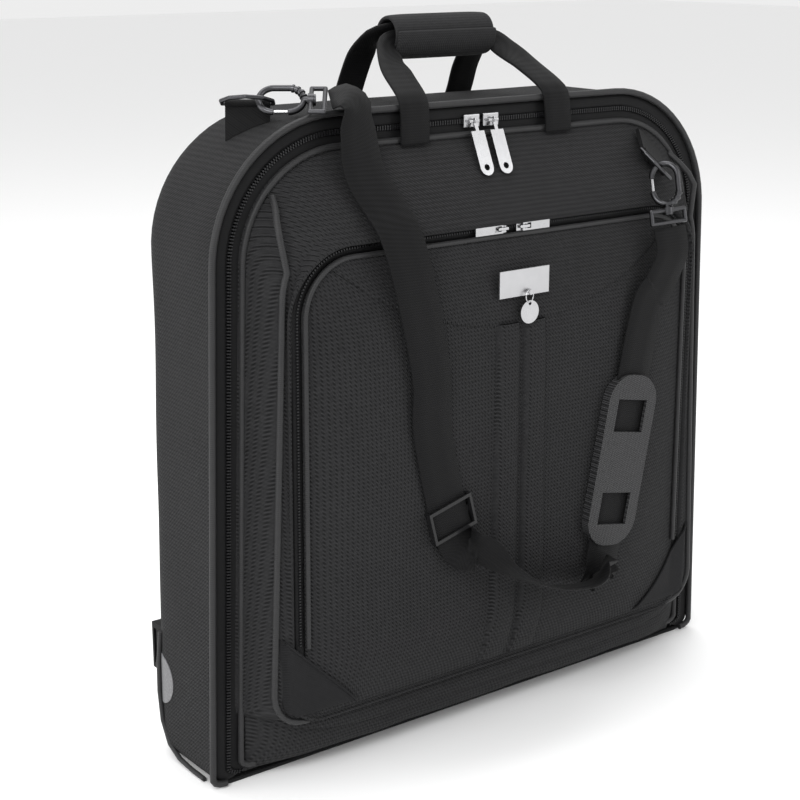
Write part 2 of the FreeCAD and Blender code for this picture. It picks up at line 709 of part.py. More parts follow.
left_eye_width = Vector(0.57, 0.76, 0.33)
left_eye = snap_hook("left", frame_at(left_hook_centre, left_axis, (0.42, 0.56, 0.71)),
                     frame_at(left_hook_centre, left_axis, left_eye_width))
snap_hook("right", frame_at(right_hook_centre, right_axis, (0.43, -0.9, 0)),
          frame_at(right_hook_centre, right_axis, (1, 0.05, 0.1)))

# The strap's route runs over the top edge, down the front, through the tri-glide, round the low
# bend where it turns edge-on, up behind the pad's bands and on to the right hook.
strap_wide = size("webbing_width")
strap_thick = size("webbing_thick")
pad_centre = Vector(117, -63, 229)
pad_axis = Vector(0.19, 0, 0.98).normalize()
glide_centre = Vector(-78, -61.5, 214)
glide_axis = Vector(-14, 0, 53).normalize()
eye_reach = 39
strap_start = left_hook_centre + left_axis * eye_reach
strap_end = right_hook_centre + right_axis * eye_reach
strap_route = [
    (strap_start, left_eye_width),
    ((-148, -7, 569), (0.62, 0.7, 0.35)),
    ((-141, -16, 561), (0.8, 0.5, 0.33)),
    ((-143, -21, 538), (0.97, 0.2, 0.15)),
    ((-144, -31, 508), (1, 0, 0.05)),
    ((-134, -43, 483), (1, 0, 0.12)),
    ((-128, -56, 462), (1, 0, 0.2)),
    ((-121, -65, 424), (1, 0, 0.2)),
    ((-102, -63.5, 345), (1, 0, 0.2)),
    (glide_centre + glide_axis * 80, (1, 0, 0.26)),
    (glide_centre - glide_axis * 20, (1, 0, 0.26)),
    ((-56, -76, 184), (0.5, -0.8, 0.3)),
    ((-37, -82, 166), (0.2, -0.95, 0.15)),
    ((-16, -85, 152), (0.1, -0.98, 0.1)),
    ((10, -85, 139), (0.02, -0.98, 0.15)),
    ((38, -84, 130), (-0.05, -0.97, 0.25)),
    ((64, -83, 127), (-0.25, -0.93, 0.3)),
    ((86, -75, 131), (-0.65, -0.68, 0.35)),
    (pad_centre - pad_axis * 92, (-0.98, 0, 0.19)),
    (pad_centre + pad_axis * 122, (-0.98, 0, 0.19)),
    ((157, -65, 386), (-0.98, 0, 0.25)),
    (strap_end + right_axis * 24, (-1, 0, 0)),
    (strap_end, (-1, 0, 0)),
]
strap_stations = [(tuple(point), tuple(across), strap_wide, strap_thick) for point, across in strap_route]
keep(free_shape("strap_ribbon", ribbon(strap_stations)), "shoulder_strap")

pad_half_length = 80
pad_half_width = 30
pad_thick = 9
end_round = 26
pad_block = Part.makeBox(2 * pad_half_length, 2 * pad_half_width, pad_thick,
                         Vector(-pad_half_length, -pad_half_width, -pad_thick / 2))
pad_block = pad_block.makeFillet(end_round, [e for e in pad_block.Edges if abs(e.tangentAt(0).z) > 0.9])
pad_block = pad_block.cut(Part.makeBox(400, strap_wide + 1, strap_thick + 0.8,
                                       Vector(-200, -(strap_wide + 1) / 2, -(strap_thick + 0.8) / 2)))
for window_x in (-60, 27):
    window = Part.makeBox(30, strap_wide - 4, pad_thick, Vector(window_x, 2 - strap_wide / 2, 0.2))
    pad_block = pad_block.cut(window)
keep(free_shape("pad_moulding", pad_block, frame_at(pad_centre, pad_axis, (-1, 0, 0.19))), "shoulder_pad")

glide_half = strap_wide / 2 + 0.6
glide = Part.makeBox(30, 2 * glide_half + 5, 6.4, Vector(-15, -glide_half - 2.5, -3.2))
glide_channel = strap_thick + 0.8
channel_place = Vector(-30, -glide_half, -glide_channel / 2)
glide = glide.cut(Part.makeBox(60, 2 * glide_half, glide_channel, channel_place))
glide = glide.cut(Part.makeBox(24, 2 * glide_half, 6, Vector(-12, -glide_half, 0)))
for slot_x in (-12, 3):
    glide = glide.cut(Part.makeBox(9, 2 * glide_half, 9, Vector(slot_x, -glide_half, -6)))
keep(free_shape("glide_moulding", glide, frame_at(glide_centre, glide_axis, (-1, 0, -0.26))), "tri_glide")

# ---- Carry handles -----------------------------------------------------------------------------------

wrap_centre = Vector(0, 62, 608)
handle_wide = size("handle_width")
handle_thick = size("handle_thick")


def carry_handle(label, leg, run, lean):
    """One webbing handle: two legs that turn in their own plane into a narrow grip run."""
    y, z = lean
    turned = (0.7, 0.7 * y, 0.7 * z)
    widths = [1.0] * (len(leg) - 2) + [0.9, 0.5]
    sides = [(1, 0, 0)] * (len(leg) - 2) + [(0.98, 0.16 * y, 0.16 * z), turned]
    near = list(zip(leg, sides, widths))
    stations = []
    for (x, py, pz), across, share in near:
        stations.append(((-x, py, pz), across, handle_wide * share, handle_thick))
    stations += [((x, run[0], run[1]), (0, y, z), 10, 8) for x in (-57, 57)]
    for (x, py, pz), across, share in reversed(near):
        stations.append(((x, py, pz), (-across[0], across[1], across[2]), handle_wide * share, handle_thick))
    return keep(free_shape(label + "_webbing", ribbon(stations)), label)


front_leg = [(79, -12.5, 520), (78.5, -12.5, 551), (77, -7, 563), (71, 24, 579), (64, 44, 594)]
rear_leg = [(63, 106, 555.2), (62, 103, 566), (61, 92, 586), (63, 80, 600)]
carry_handle("front_handle", front_leg, (56, 604.5), (-0.78, -0.62))
carry_handle("rear_handle", rear_leg, (67, 611), (0.62, -0.78))

front_anchors = []
rear_anchors = []
slope_turn = FreeCAD.Rotation(Vector(1, 0, 0), -34.5)
skin_block = rounded_block("skin_block", -size("border") - 2, "-sheet.border - 2", 0.2, -2,
                           size("rim_round") + 2, -2)
for side in (-1, 1):
    patch = box("front_anchor", (-15, -1.1, -12), (15, 1.1, 12))
    centre = Vector(side * 79, -17.0, 508.5)
    patch.Placement = FreeCAD.Placement(centre, slope_turn) * patch.Placement
    front_anchors.append(patch)
    anchor_prism = box("rear_anchor_prism", (side * 63 - 15, 100, 520), (side * 63 + 15, 134, 552))
    anchor_skin = doc.addObject("Part::Common", "rear_anchor_skin")
    anchor_skin.Base = skin_block
    anchor_skin.Tool = anchor_prism
    rear_anchors.append(cut("rear_anchor", anchor_skin, outer_block))
keep(group_of("front_anchor_pair", *front_anchors), "front_handle_anchors")
keep(group_of("rear_anchor_pair", *rear_anchors), "rear_handle_anchors")

wrap_radius = size("wrap_radius")
wrap_half = size("wrap_length") / 2
wrap_start = (-wrap_half, wrap_centre.y, wrap_centre.z)
wrap_tube = cut("wrap_tube", cylinder("wrap_outside", wrap_start, (1, 0, 0), wrap_radius, 2 * wrap_half),
                cylinder("wrap_bore", wrap_start, (1, 0, 0), wrap_radius - size("wrap_wall"), 2 * wrap_half))
wrap_slit = box("wrap_slit", (-80, wrap_centre.y - 12, wrap_centre.z - 22),
                (80, wrap_centre.y - 10, wrap_centre.z))
keep(cut("wrap_slit_cut", wrap_tube, wrap_slit), "grip_wrap")

# ---- Inside: hanger bracket with its clamp lever, and the garment straps with their buckle ----------

bracket_back = 114
bracket = [box("bracket_plate", (-30, bracket_back - 3, 430), (30, bracket_back, 480))]
for side in (-1, 1):
    near, far = sorted((side * 26.6, side * 30))
    bracket.append(box("bracket_ear", (near, 94, 458), (far, bracket_back - 2, 476)))
pin_bore = cylinder("bracket_bore", (-40, 100, 468), (1, 0, 0), 2.08, 80)
keep(cut("bracket_cut", fuse("bracket_fused", *bracket), pin_bore), "hanger_bracket")
lever_pin = cylinder("lever_pin", (-30.5, 100, 468), (1, 0, 0), 2, 61)
lever_plate = box("lever_plate", (-25, 98.8, 434), (25, 101.2, 467), 0)
lever_lip = box("lever_lip", (-25, 94, 432), (25, 101.2, 434.4))
keep(fuse("lever_fused", lever_pin, lever_plate, lever_lip), "hanger_clamp_lever")
screws = [cylinder("bracket_screw", (x, bracket_back - 3.1, 440), (0, -1, 0), 3.6, 1.8) for x in (-18, 18)]
keep(group_of("bracket_screw_pair", *screws), "hanger_screws")

strap_back = 108.8
keep(box("garment_left", (-248, strap_back - 2, 288), (-24.4, strap_back, 313)), "garment_strap_left")
keep(box("garment_right", (26.6, strap_back - 2, 288), (248, strap_back, 313)), "garment_strap_right")
socket = box("socket_block", (-24, 102, 282), (8, strap_back, 319))
socket_room = box("socket_room", (-16, 103.8, 287), (20, 107.4, 314))
keep(cut("socket_cut", socket, socket_room), "buckle_socket")
plug_block = box("plug_block", (8.6, 102.2, 284), (26, strap_back - 0.2, 317))
prongs = [box("plug_prong", (-13, 104.2, low), (9, 107, low + 7)) for low in (288, 306)]
keep(fuse("plug_fused", plug_block, *prongs), "buckle_plug")

# ---- Low on the rear corners: a belt loop and a leather patch each side -------------------------------

loops = []
patches = []
for side in (-1, 1):
    near, far = sorted((side * 247, side * 272))
    block = box("loop_block", (near, 96, 66), (far, 117, 109))
    slot = box("loop_slot", (near - 5, 109.4, 71), (far + 5, 114.2, 104))
    loops.append(cut("fold_loop", block, slot, outer_block))
    disc = cylinder("patch_disc", (side * 240, 84, 70), (side, 0, 0), 22, 60)
    patch_skin = doc.addObject("Part::Common", "patch_skin")
    patch_skin.Base = skin_block
    patch_skin.Tool = disc
    loop_room = box("loop_room", (near - 0.4, 90, 65.6), (far + 0.4, 120, 109.4))
    patches.append(cut("patch_cut", patch_skin, outer_block, loop_room))
keep(group_of("fold_loop_pair", *loops), "fold_strap_loops")
keep(group_of("patch_pair", *patches), "corner_guards")

# ---- Check and write ----------------------------------------------------------------------------------

doc.recompute()
for thing in doc.Objects:
    if "Invalid" in thing.State or "Error" in thing.State:
        raise RuntimeError("%s failed: %s" % (thing.Name, thing.getStatusString()))
os.makedirs("parts", exist_ok=True)
for thing in parts:
    shape = thing.Shape
    if shape.isNull() or not shape.isValid() or shape.Volume <= 0:
        raise RuntimeError("%s has no valid solid" % thing.Label)
    shape.exportStep("parts/%s.step" % thing.Label)
strap_length = sum((Vector(*b[0]) - Vector(*a[0])).Length for a, b in zip(strap_stations, strap_stations[1:]))
print("strap length %.0f mm, %d sub-parts written" % (strap_length, len(parts)))
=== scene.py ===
import json
import math

import bmesh
import bpy
from mathutils import Matrix, Vector, noise


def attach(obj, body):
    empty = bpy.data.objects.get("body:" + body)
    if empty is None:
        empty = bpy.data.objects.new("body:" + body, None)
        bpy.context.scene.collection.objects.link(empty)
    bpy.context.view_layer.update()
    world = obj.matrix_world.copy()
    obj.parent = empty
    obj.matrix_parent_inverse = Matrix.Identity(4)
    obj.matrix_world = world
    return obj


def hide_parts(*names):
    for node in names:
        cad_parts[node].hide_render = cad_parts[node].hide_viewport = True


# A bi-fold garment bag that stands on its fold. The front faces -Y, +Z is up, lengths are metres.
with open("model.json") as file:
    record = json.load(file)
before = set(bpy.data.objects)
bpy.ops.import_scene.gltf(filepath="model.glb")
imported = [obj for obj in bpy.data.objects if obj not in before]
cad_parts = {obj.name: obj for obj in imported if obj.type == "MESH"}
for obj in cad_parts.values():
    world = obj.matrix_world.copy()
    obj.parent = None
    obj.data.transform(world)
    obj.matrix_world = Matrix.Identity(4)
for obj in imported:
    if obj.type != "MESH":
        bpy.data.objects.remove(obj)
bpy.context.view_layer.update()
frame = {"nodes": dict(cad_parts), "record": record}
scene = bpy.context.scene
mm = 0.001
print("frame loaded:", len(frame["nodes"]), "nodes")

# camera, light and floor
cameraRig = {"place": (-0.919, -1.101, 0.694), "turn": 37.1, "tilt": 15.7, "lens": 75.06}


def addCamera(rig):
    data = bpy.data.cameras.new("camera")
    data.lens = rig["lens"]
    data.sensor_width = 36
    camera = bpy.data.objects.new("camera", data)
    scene.collection.objects.link(camera)
    camera.location = rig["place"]
    camera.rotation_euler = (math.radians(90 - rig["tilt"]), 0, math.radians(-rig["turn"]))
    scene.camera = camera


studio = {
    "skyColour": (1.0, 1.0, 1.0, 1.0),
    "skyStrength": 0.85,
    "floorColour": (0.93, 0.93, 0.93, 1.0),
    "lights": [
        # name, place, aimed at, width, height, watts
        ("keyLight", (-2.3, -1.3, 2.3), (0.0, 0.0, 0.3), 1.6, 1.6, 62),
        ("fillLight", (1.6, -2.6, 1.3), (0.0, 0.0, 0.3), 1.8, 1.8, 22),
        ("topLight", (0.2, 0.6, 2.6), (0.0, 0.0, 0.3), 2.0, 1.4, 34),
        ("sideLight", (-2.8, 0.9, 0.9), (-0.2, 0.0, 0.3), 1.4, 1.4, 24),
    ],
}


def addStudio(rig):
    world = bpy.data.worlds.new("studio")
    world.use_nodes = True
    sky = world.node_tree.nodes["Background"]
    sky.inputs["Color"].default_value = rig["skyColour"]
    sky.inputs["Strength"].default_value = rig["skyStrength"]
    scene.world = world
    for name, place, aim, width, height, watts in rig["lights"]:
        data = bpy.data.lights.new(name, "AREA")
        data.shape = "RECTANGLE"
        data.size = width
        data.size_y = height
        data.energy = watts
        light = bpy.data.objects.new(name, data)
        light.location = place
        light.rotation_euler = (Vector(aim) - Vector(place)).to_track_quat("-Z", "Y").to_euler()
        scene.collection.objects.link(light)
    bm = bmesh.new()
    bmesh.ops.create_grid(bm, x_segments=1, y_segments=1, size=12)
    mesh = bpy.data.meshes.new("floor")
    bm.to_mesh(mesh)
    bm.free()
    floor = bpy.data.objects.new("floor", mesh)
    scene.collection.objects.link(floor)
    paint = bpy.data.materials.new("floorPaint")
    paint.use_nodes = True
    shader = paint.node_tree.nodes["Principled BSDF"]
    shader.inputs["Base Color"].default_value = rig["floorColour"]
    shader.inputs["Roughness"].default_value = 0.75
    mesh.materials.append(paint)
    scene.view_settings.view_transform = "Standard"


addCamera(cameraRig)
addStudio(studio)
print("camera, light and floor made")


# shader node groups: each gives only values, colours and heights
def newGroup(name, inputs, outputs):
    group = bpy.data.node_groups.new(name, "ShaderNodeTree")
    for label, value in inputs:
        socket = group.interface.new_socket(label, in_out="INPUT", socket_type="NodeSocketFloat")
        socket.default_value = value
    for label in outputs:
        group.interface.new_socket(label, in_out="OUTPUT", socket_type="NodeSocketFloat")
    start = group.nodes.new("NodeGroupInput")
    end = group.nodes.new("NodeGroupOutput")
    return group, start, end


def maths(tree, operation, first, second=None):
    node = tree.nodes.new("ShaderNodeMath")
    node.operation = operation
    for socket, value in zip(node.inputs, (first, second)):
        if value is None:
            continue
        if isinstance(value, (int, float)):
            socket.default_value = value
        else:
            tree.links.new(value, socket)
    return node.outputs[0]


def places(tree):
    where = tree.nodes.new("ShaderNodeTexCoord")
    split = tree.nodes.new("ShaderNodeSeparateXYZ")
    tree.links.new(where.outputs["Object"], split.inputs[0])
    return where.outputs["Object"], split.outputs


def noiseField(tree, vector, scale, detail=3.0):
    node = tree.nodes.new("ShaderNodeTexNoise")
    node.inputs["Scale"].default_value = scale
    node.inputs["Detail"].default_value = detail
    tree.links.new(vector, node.inputs["Vector"])
    return node.outputs["Fac"]


def makeTwillGroup():
    group, start, end = newGroup("twillWeave", [("Threads", 2400.0), ("Slope", 0.5)], ["Height", "Mask"])
    vector, (x, y, z) = places(group)
    across = maths(group, "ADD", x, y)
    wobble = maths(group, "MULTIPLY", noiseField(group, vector, 90.0), 0.0012)
    rise = maths(group, "ADD", across, wobble)
    warp = maths(group, "SINE", maths(group, "MULTIPLY", rise, start.outputs["Threads"]))
    weftPlace = maths(group, "ADD", z, maths(group, "MULTIPLY", across, start.outputs["Slope"]))
    weft = maths(group, "SINE", maths(group, "MULTIPLY", weftPlace, start.outputs["Threads"]))
    knots = maths(group, "MULTIPLY", warp, weft)
    ridge = maths(group, "ADD", maths(group, "MULTIPLY", knots, 0.6), maths(group, "MULTIPLY", weft, 0.4))
    height = maths(group, "MULTIPLY_ADD", ridge, 0.5)
    height.node.inputs[2].default_value = 0.5
    group.links.new(height, end.inputs["Height"])
    patchy = noiseField(group, vector, 260.0)
    mask = maths(group, "MULTIPLY", height, maths(group, "ADD", patchy, 0.5))
    group.links.new(mask, end.inputs["Mask"])
    return group


def makeRibGroup():
    group, start, end = newGroup("ribWeave", [("Ribs", 2600.0)], ["Height"])
    vector, (x, y, z) = places(group)
    first = maths(group, "SINE", maths(group, "MULTIPLY", maths(group, "ADD", x, z), start.outputs["Ribs"]))
    slope = maths(group, "SUBTRACT", z, y)
    second = maths(group, "SINE", maths(group, "MULTIPLY", slope, start.outputs["Ribs"]))
    total = maths(group, "ADD", first, second)
    height = maths(group, "MULTIPLY_ADD", total, 0.25)
    height.node.inputs[2].default_value = 0.5
    group.links.new(height, end.inputs["Height"])
    return group


def makeWearGroup():
    group, start, end = newGroup("softWear", [("Scale", 14.0), ("Amount", 0.25)], ["Mask"])
    vector, _ = places(group)
    node = noiseField(group, vector, 14.0, 6.0)
    group.links.new(start.outputs["Scale"], node.node.inputs["Scale"])
    group.links.new(maths(group, "MULTIPLY", node, start.outputs["Amount"]), end.inputs["Mask"])
    return group


twillWeave = makeTwillGroup()
ribWeave = makeRibGroup()
softWear = makeWearGroup()


def placeGroup(tree, group, **values):
    node = tree.nodes.new("ShaderNodeGroup")
    node.node_tree = group
    for label, value in values.items():
        node.inputs[label].default_value = value
    return node


def mixColour(tree, factor, first, second):
    node = tree.nodes.new("ShaderNodeMix")
    node.data_type = "RGBA"
    tree.links.new(factor, node.inputs["Factor"])
    for name, value in (("A", first), ("B", second)):
        socket = next(s for s in node.inputs if s.name == name and s.type == "RGBA")
        socket.default_value = (*value, 1)
    return next(s for s in node.outputs if s.type == "RGBA")


def bumpFrom(tree, height, distance, strength=1.0):
    node = tree.nodes.new("ShaderNodeBump")
    node.inputs["Distance"].default_value = distance
    node.inputs["Strength"].default_value = strength
    tree.links.new(height, node.inputs["Height"])
    return node.outputs["Normal"]


def newMaterial(name, roughness, metallic=0.0, sheen=0.0, gloss=0.5):
    material = bpy.data.materials.new(name)
    material.use_nodes = True
    shader = material.node_tree.nodes["Principled BSDF"]
    shader.inputs["Roughness"].default_value = roughness
    shader.inputs["Metallic"].default_value = metallic
    shader.inputs["Sheen Weight"].default_value = sheen
    shader.inputs["Sheen Roughness"].default_value = 0.5
    shader.inputs["Specular IOR Level"].default_value = gloss
    return material, material.node_tree, shader


def clothMaterial(name, dark, light, threads, slope, depth, roughness=0.8, gloss=0.1):
    material, tree, shader = newMaterial(name, roughness, sheen=0.02, gloss=gloss)
    weave = placeGroup(tree, twillWeave, Threads=threads, Slope=slope)
    wear = placeGroup(tree, softWear, Scale=11.0, Amount=0.3)
    tone = maths(tree, "ADD", weave.outputs["Mask"], wear.outputs["Mask"])
    tree.links.new(mixColour(tree, tone, dark, light), shader.inputs["Base Color"])
    tree.links.new(bumpFrom(tree, weave.outputs["Height"], depth), shader.inputs["Normal"])
    return material


def webbingMaterial(name, dark, light, ribs, roughness=0.62, gloss=0.12):
    material, tree, shader = newMaterial(name, roughness, sheen=0.02, gloss=gloss)
    weave = placeGroup(tree, ribWeave, Ribs=ribs)
    tree.links.new(mixColour(tree, weave.outputs["Height"], dark, light), shader.inputs["Base Color"])
    tree.links.new(bumpFrom(tree, weave.outputs["Height"], 0.0002), shader.inputs["Normal"])
    return material


def metalMaterial(name, colour, roughness, scratch):
    material, tree, shader = newMaterial(name, roughness, metallic=1.0)
    vector, _ = places(tree)
    marks = noiseField(tree, vector, 420.0, 5.0)
    wear = placeGroup(tree, softWear, Scale=60.0, Amount=0.6)
    tree.links.new(mixColour(tree, wear.outputs["Mask"], colour, [c * 0.7 for c in colour]),
                   shader.inputs["Base Color"])
    spread = maths(tree, "MULTIPLY_ADD", marks, scratch)
    spread.node.inputs[2].default_value = roughness
    tree.links.new(spread, shader.inputs["Roughness"])
    return material


def mouldedMaterial(name, dark, light, scale, depth, roughness, gloss=0.3):
    material, tree, shader = newMaterial(name, roughness, gloss=gloss)
    vector, _ = places(tree)
    cells = tree.nodes.new("ShaderNodeTexVoronoi")
    cells.inputs["Scale"].default_value = scale
    tree.links.new(vector, cells.inputs["Vector"])
    tree.links.new(mixColour(tree, cells.outputs["Distance"], dark, light), shader.inputs["Base Color"])
    tree.links.new(bumpFrom(tree, cells.outputs["Distance"], depth), shader.inputs["Normal"])
    return material


def perforatedMaterial(name, dark, light, pitch, lean, depth):
    material, tree, shader = newMaterial(name, 0.5, gloss=0.3)
    where = tree.nodes.new("ShaderNodeTexCoord")
    turned = tree.nodes.new("ShaderNodeMapping")
    turned.inputs["Rotation"].default_value = (0, lean, 0)
    tree.links.new(where.outputs["Object"], turned.inputs["Vector"])
    split = tree.nodes.new("ShaderNodeSeparateXYZ")
    tree.links.new(turned.outputs["Vector"], split.inputs[0])
    perMetre = 2 * math.pi / pitch
    waves = [maths(tree, "SINE", maths(tree, "MULTIPLY", split.outputs[axis], perMetre)) for axis in (0, 2)]
    holes = maths(tree, "MULTIPLY", *[maths(tree, "ABSOLUTE", wave) for wave in waves])
    shade = mixColour(tree, maths(tree, "POWER", holes, 0.7), dark, light)
    tree.links.new(shade, shader.inputs["Base Color"])
    tree.links.new(bumpFrom(tree, holes, depth), shader.inputs["Normal"])
    return material


padLean = math.atan2(0.19, 0.98)
finishes = {
    "body_fabric": clothMaterial("shellTwill", (0.0012, 0.0012, 0.0013),
                                 (0.026, 0.026, 0.027), 1750, 1.0, 0.0011),
    "patch_fabric": clothMaterial("patchWeave", (0.004, 0.004, 0.0042),
                                  (0.017, 0.017, 0.018), 4200, 0.0, 0.0002),
    "lining": clothMaterial("liningCloth", (0.012, 0.012, 0.013),
                            (0.04, 0.04, 0.043), 5200, 0.0, 0.0001, 0.5),
    "board": mouldedMaterial("board", (0.02, 0.02, 0.02), (0.05, 0.05, 0.05), 300, 0.0002, 0.6),
    "zip_tape": clothMaterial("zipTape", (0.0023, 0.0023, 0.0024),
                              (0.0095, 0.0095, 0.01), 3800, 1.0, 0.00015, 0.6),
    "zip_teeth": mouldedMaterial("zipTeeth", (0.006, 0.006, 0.0065),
                                 (0.013, 0.013, 0.014), 900, 0.00005, 0.36),
    "piping": clothMaterial("pipingSatin", (0.006, 0.006, 0.0062),
                            (0.026, 0.026, 0.027), 3800, 1.0, 0.00012, 0.5, 0.25),
    "webbing": webbingMaterial("webbing", (0.0015, 0.0015, 0.0016), (0.0065, 0.0065, 0.007), 3000),
    "grip_fabric": clothMaterial("gripCloth", (0.005, 0.005, 0.0052),
                                 (0.026, 0.026, 0.027), 3000, 1.0, 0.0002),
    "zinc": metalMaterial("zincPlate", (0.5, 0.5, 0.51), 0.18, 0.14),
    "plate_metal": metalMaterial("satinPlate", (0.5, 0.5, 0.51), 0.34, 0.12),
    "dark_metal": metalMaterial("gunmetal", (0.07, 0.07, 0.074), 0.26, 0.16),
    "black_plastic": mouldedMaterial("acetal", (0.006, 0.006, 0.0065),
                                     (0.012, 0.012, 0.0125), 600, 0.00004, 0.34),
    "pad_rubber": perforatedMaterial("padRubber", (0.004, 0.004, 0.0042),
                                     (0.05, 0.05, 0.052), 3.6 * mm, padLean, 0.0006),
    "steel": metalMaterial("pressedSteel", (0.56, 0.56, 0.57), 0.3, 0.2),
    "guard_leather": mouldedMaterial("guardLeather", (0.1, 0.1, 0.104),
                                     (0.17, 0.17, 0.175), 500, 0.0003, 0.5),
}
slotOf = {row["node"]: row["material_slot"] for row in frame["record"]["subparts"]}
for node, piece in frame["nodes"].items():
    piece.data.materials.clear()
    piece.data.materials.append(finishes[slotOf[node]])
print("materials made:", len(finishes))


# outlines: an arch that stands on a straight foot
mainZip = {"low": 270 * mm, "high": 256 * mm, "top": 540 * mm, "round": 102 * mm,
           "foot": 14 * mm, "heel": 4 * mm}
lidEdge = {"low": 244 * mm, "high": 229 * mm, "top": 480 * mm, "round": 66 * mm,
           "foot": 56 * mm, "heel": 30 * mm}
pocketEdge = {"low": 224 * mm, "high": 222 * mm, "top": 457 * mm, "round": 57 * mm,
              "foot": 76 * mm, "heel": 26 * mm}
rearSlope = {"low": 105 * mm, "rise": 0.037, "rim": 36 * mm}


def rearAt(height):
    return rearSlope["low"] + rearSlope["rise"] * height


def archPoints(arch, inset=0.0, foot=None, closed=True):
    low = arch["low"] - inset
    high = arch["high"] - inset
    top = arch["top"] - inset
    radius = max(arch["round"] - inset, 2 * mm)
    base = arch["foot"] + inset if foot is None else foot
    heel = max(arch["heel"] - inset, 2 * mm) if closed else 0.0
    half = []
    if closed:
        half += [((low - heel) * i / 16, base) for i in range(1, 16)]
        for i in range(7):
            turn = math.radians(-90 + 15 * i)
            half.append((low - heel + heel * math.cos(turn), base + heel + heel * math.sin(turn)))
    start = half[-1] if closed else (low, base)
    rise = top - radius - start[1]
    first = 1 if closed else 0
    half += [(start[0] + (high - start[0]) * i / 40, start[1] + rise * i / 40) for i in range(first, 40)]
    for i in range(17):
        turn = math.radians(90 * i / 16)
        half.append((high - radius + radius * math.cos(turn), top - radius + radius * math.sin(turn)))
    half += [((high - radius) * (1 - i / 14), top) for i in range(1, 14)]
    other = [(-x, z) for x, z in reversed(half)]
    if closed:
        return [(0, base)] + half + [(0, top)] + other
    toe = [(low - 13 * mm, base - 6 * mm), (low - 6.5 * mm, base - 5.2 * mm), (low - 2 * mm, base - 3 * mm)]
    return toe + half + [(0, top)] + other + [(-x, z) for x, z in reversed(toe)]


def stripFoot(inset):
    return 9.2 * mm + 0.45 * (inset + 15 * mm)


def swell(depth, shoulder):
    return 1 - (1 - min(max(depth / shoulder, 0), 1)) ** 2.4


def ease(share):
    share = min(max(share, 0.0), 1.0)
    return share * share * (3 - 2 * share)


def ripple(x, y, z, scale, amount):
    return amount * noise.noise(Vector((x, y, z)) * scale)


def addLoop(bm, points, closed=True):
    verts = [bm.verts.new(point) for point in points]
    edges = [bm.edges.new(pair) for pair in zip(verts, verts[1:])]
    if closed:
        edges.append(bm.edges.new((verts[-1], verts[0])))
    return edges


def bridge(bm, loops):
    for near, far in zip(loops, loops[1:]):
        bmesh.ops.bridge_loops(bm, edges=near + far)


def finishPiece(name, bm, slot, body, nodes=(), thick=0.0, subdivide=0, smooth=True, outward=True):
    if outward:
        bmesh.ops.recalc_face_normals(bm, faces=bm.faces)
    mesh = bpy.data.meshes.new(name)
    bm.to_mesh(mesh)
    bm.free()
    for polygon in mesh.polygons:
        polygon.use_smooth = smooth
    piece = bpy.data.objects.new(name, mesh)
    scene.collection.objects.link(piece)
    mesh.materials.append(finishes[slot])
    if thick:
        wall = piece.modifiers.new("wall", "SOLIDIFY")
        wall.thickness = thick
        wall.offset = -1
    if subdivide:
        finer = piece.modifiers.new("finer", "SUBSURF")
        finer.levels = subdivide
        finer.render_levels = subdivide
    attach(piece, body)
    if nodes:
        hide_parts(*nodes)
    return piece


# rear half: the wrap round the sides, and the panel on its back
rearShell = {"flange": 11 * mm, "border": 14 * mm, "seam": 30 * mm, "sag": 1.6 * mm,
             "steps": 12, "rimSteps": 9, "panelMiddle": 0.29, "panelRings": 15, "panelSwell": 6 * mm}


def rearLoop(bm, inset, depth, softness=1.0):
    points = []
    for x, z in archPoints(mainZip, inset):
        y = depth(z)
        push = ripple(x, y, z, 9, rearShell["sag"]) * softness
        outward = math.copysign(1, x) * min(abs(x) / 0.2, 1)
        points.append((x + push * outward, y + push * 0.6, max(z + push * 0.4, 0)))
    return addLoop(bm, points)


def makeRearWrap(shape):
    bm = bmesh.new()
    border = -shape["border"]
    rim = rearSlope["rim"]
    loops = [rearLoop(bm, -shape["flange"], lambda z: 1 * mm, 0),
             rearLoop(bm, border + 0.5 * mm, lambda z: -1.6 * mm, 0)]
    for i in range(shape["steps"] + 1):
        share = i / shape["steps"]
        loops.append(rearLoop(bm, border, lambda z: share * (rearAt(z) - rim), ease(share * 4)))
    for i in range(1, shape["rimSteps"] + 1):
        turn = math.radians(90 * i / shape["rimSteps"])
        inset = border + rim * (1 - math.cos(turn))
        loops.append(rearLoop(bm, inset, lambda z: rearAt(z) - rim + rim * math.sin(turn)))
    loops.append(rearLoop(bm, shape["seam"] - 0.5 * mm, rearAt))
    loops.append(rearLoop(bm, shape["seam"] + 1 * mm, lambda z: rearAt(z) - 2 * mm))
    bridge(bm, loops)
    return finishPiece("rear_wrap", bm, "body_fabric", "back_half", ["rear_gusset"], 2.2 * mm)


def makeBackPanel(shape):
    bm = bmesh.new()
    edge = archPoints(mainZip, shape["seam"])
    middle = shape["panelMiddle"]
    loops = [addLoop(bm, [(x, rearAt(z) - 2.5 * mm, z) for x, z in edge])]
    for i in range(shape["panelRings"]):
        scale = 0.993 - 0.95 * (i / (shape["panelRings"] - 1))
        points = []
        for x, z in edge:
            x, z = x * scale, middle + (z - middle) * scale
            raised = shape["panelSwell"] * ease((1 - scale) * 2.2)
            points.append((x, rearAt(z) + 0.4 * mm + raised + ripple(x, 0.3, z, 8, 1.6 * mm), z))
        loops.append(addLoop(bm, points))
    bridge(bm, loops)
    bmesh.ops.edgeloop_fill(bm, edges=loops[-1])
    return finishPiece("back_panel_quilted", bm, "body_fabric", "back_half", ["back_panel"], 2.2 * mm)


makeRearWrap(rearShell)
makeBackPanel(rearShell)
print("rear half made")

